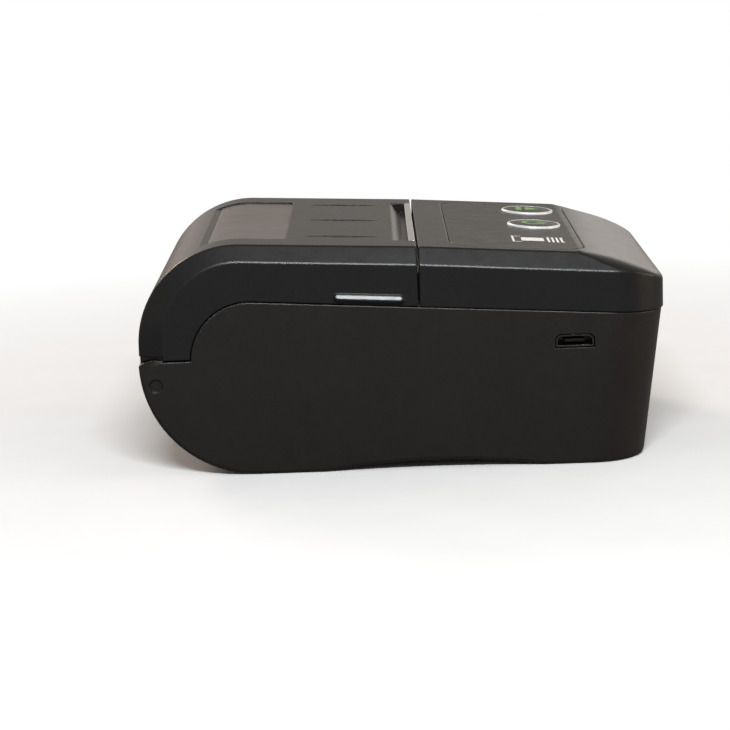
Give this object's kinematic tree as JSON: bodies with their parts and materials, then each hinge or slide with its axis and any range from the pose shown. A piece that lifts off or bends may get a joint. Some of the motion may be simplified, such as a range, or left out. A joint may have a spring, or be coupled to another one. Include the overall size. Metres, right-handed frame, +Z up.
{
  "type": "portable thermal printer",
  "caption": "Handheld battery receipt printer with a hinged paper cover, rubber platen, thermal print head, lit round keys and a removable battery pack.",
  "frame": {"origin": "bottom centre of the whole object, on the surface it stands on", "axes": "+X to the key panel end, away from the cover hinge; -Y to the side with the USB socket; +Z up"},
  "size_m": [0.1054, 0.0784, 0.0462],
  "materials": {
    "housing_matte_black": "fine satin moulded texture",
    "cover_satin_black": "satin moulded plastic",
    "smoked_pane": "smoked satin pane",
    "label_film": "satin printed film",
    "bright_ring": "satin silver plating",
    "key_black": "smooth black",
    "green_lens": "lit green translucent plastic",
    "bright_steel": "bright plated steel",
    "platen_rubber": "ground rubber",
    "frame_black": "glass-filled black plastic",
    "gear_white": "natural acetal",
    "motor_steel": "zinc plated can",
    "head_ceramic": "glazed ceramic",
    "sink_aluminium": "extruded",
    "board_green": "solder resist",
    "component_black": "moulded",
    "shield_tin": "tinned shield",
    "cable_film": "polyimide film",
    "contact_gold": "gold plated",
    "battery_shell": "matte moulded"
  },
  "bodies": {
    "base": {"base_shell": "housing_matte_black", "battery_terminals": "contact_gold", "board_capacitors": "component_black", "cable_connector": "component_black", "case_screws": "bright_steel", "control_chip": "component_black", "feed_bezel": "bright_ring", "feed_switch": "component_black", "head_cable": "cable_film", "head_heat_sink": "sink_aluminium", "head_springs": "bright_steel", "hinge_pin": "bright_steel", "idler_axles": "bright_steel", "key_board": "board_green", "main_board": "board_green", "panel_label": "label_film", "paper_guide": "frame_black", "paper_sensor": "frame_black", "power_bezel": "bright_ring", "power_switch": "component_black", "print_frame": "frame_black", "print_frame_screws": "bright_steel", "radio_module": "shield_tin", "stepper_motor": "motor_steel", "thermal_head": "head_ceramic", "top_shell": "cover_satin_black", "usb_socket": "bright_steel", "usb_tongue": "frame_black"},
    "cover": {"paper_cover": "cover_satin_black", "paper_window": "smoked_pane", "tear_bar": "bright_steel", "platen_bushings": "frame_black"},
    "platen": {"platen_roller": "platen_rubber", "platen_shaft": "bright_steel", "platen_gear": "gear_white"},
    "first_idler": {"first_idler_gear": "gear_white"},
    "second_idler": {"second_idler_gear": "gear_white"},
    "motor_rotor": {"motor_pinion": "gear_white", "motor_shaft": "bright_steel"},
    "power_key": {"power_button": "key_black", "power_symbol": "green_lens", "power_switch_plunger": "key_black"},
    "feed_key": {"feed_button": "key_black", "feed_symbol": "green_lens", "feed_switch_plunger": "key_black"},
    "battery": {"battery_case": "battery_shell", "battery_cells": "sink_aluminium", "battery_pads": "contact_gold"}
  },
  "joints": [
    {"name": "cover_hinge", "type": "hinge", "parent": "base", "child": "cover", "pos_m": [-0.0494, 0, 0.0187], "axis": [0, -1, 0], "range_deg": [0, 95]},
    {"name": "platen_spin", "type": "hinge", "parent": "cover", "child": "platen", "pos_m": [-0.0009, 0, 0.0352], "axis": [0, -1, 0], "continuous": true},
    {"name": "first_idler_spin", "type": "hinge", "parent": "base", "child": "first_idler", "pos_m": [0.00232, 0, 0.02573], "axis": [0, -1, 0], "continuous": true},
    {"name": "second_idler_spin", "type": "hinge", "parent": "base", "child": "second_idler", "pos_m": [0.01217, 0, 0.02747], "axis": [0, -1, 0], "continuous": true},
    {"name": "motor_spin", "type": "hinge", "parent": "base", "child": "motor_rotor", "pos_m": [0.01783, 0, 0.03313], "axis": [0, -1, 0], "continuous": true},
    {"name": "power_press", "type": "slide", "parent": "base", "child": "power_key", "axis": [-0.0681, 0, -0.9977], "range_m": [0, 0.0005], "stiffness_N_per_m": 500, "springref_m": -0.0005},
    {"name": "feed_press", "type": "slide", "parent": "base", "child": "feed_key", "axis": [-0.0681, 0, -0.9977], "range_m": [0, 0.0005], "stiffness_N_per_m": 500, "springref_m": -0.0005},
    {"name": "battery_slide", "type": "slide", "parent": "base", "child": "battery", "axis": [0, 0, -1], "range_m": [0, 0.02]}
  ],
  "couplings": [
    {"joint": "first_idler_spin", "follows": "platen_spin", "ratio": -1},
    {"joint": "second_idler_spin", "follows": "platen_spin", "ratio": 1},
    {"joint": "motor_spin", "follows": "platen_spin", "ratio": -1.6667}
  ]
}
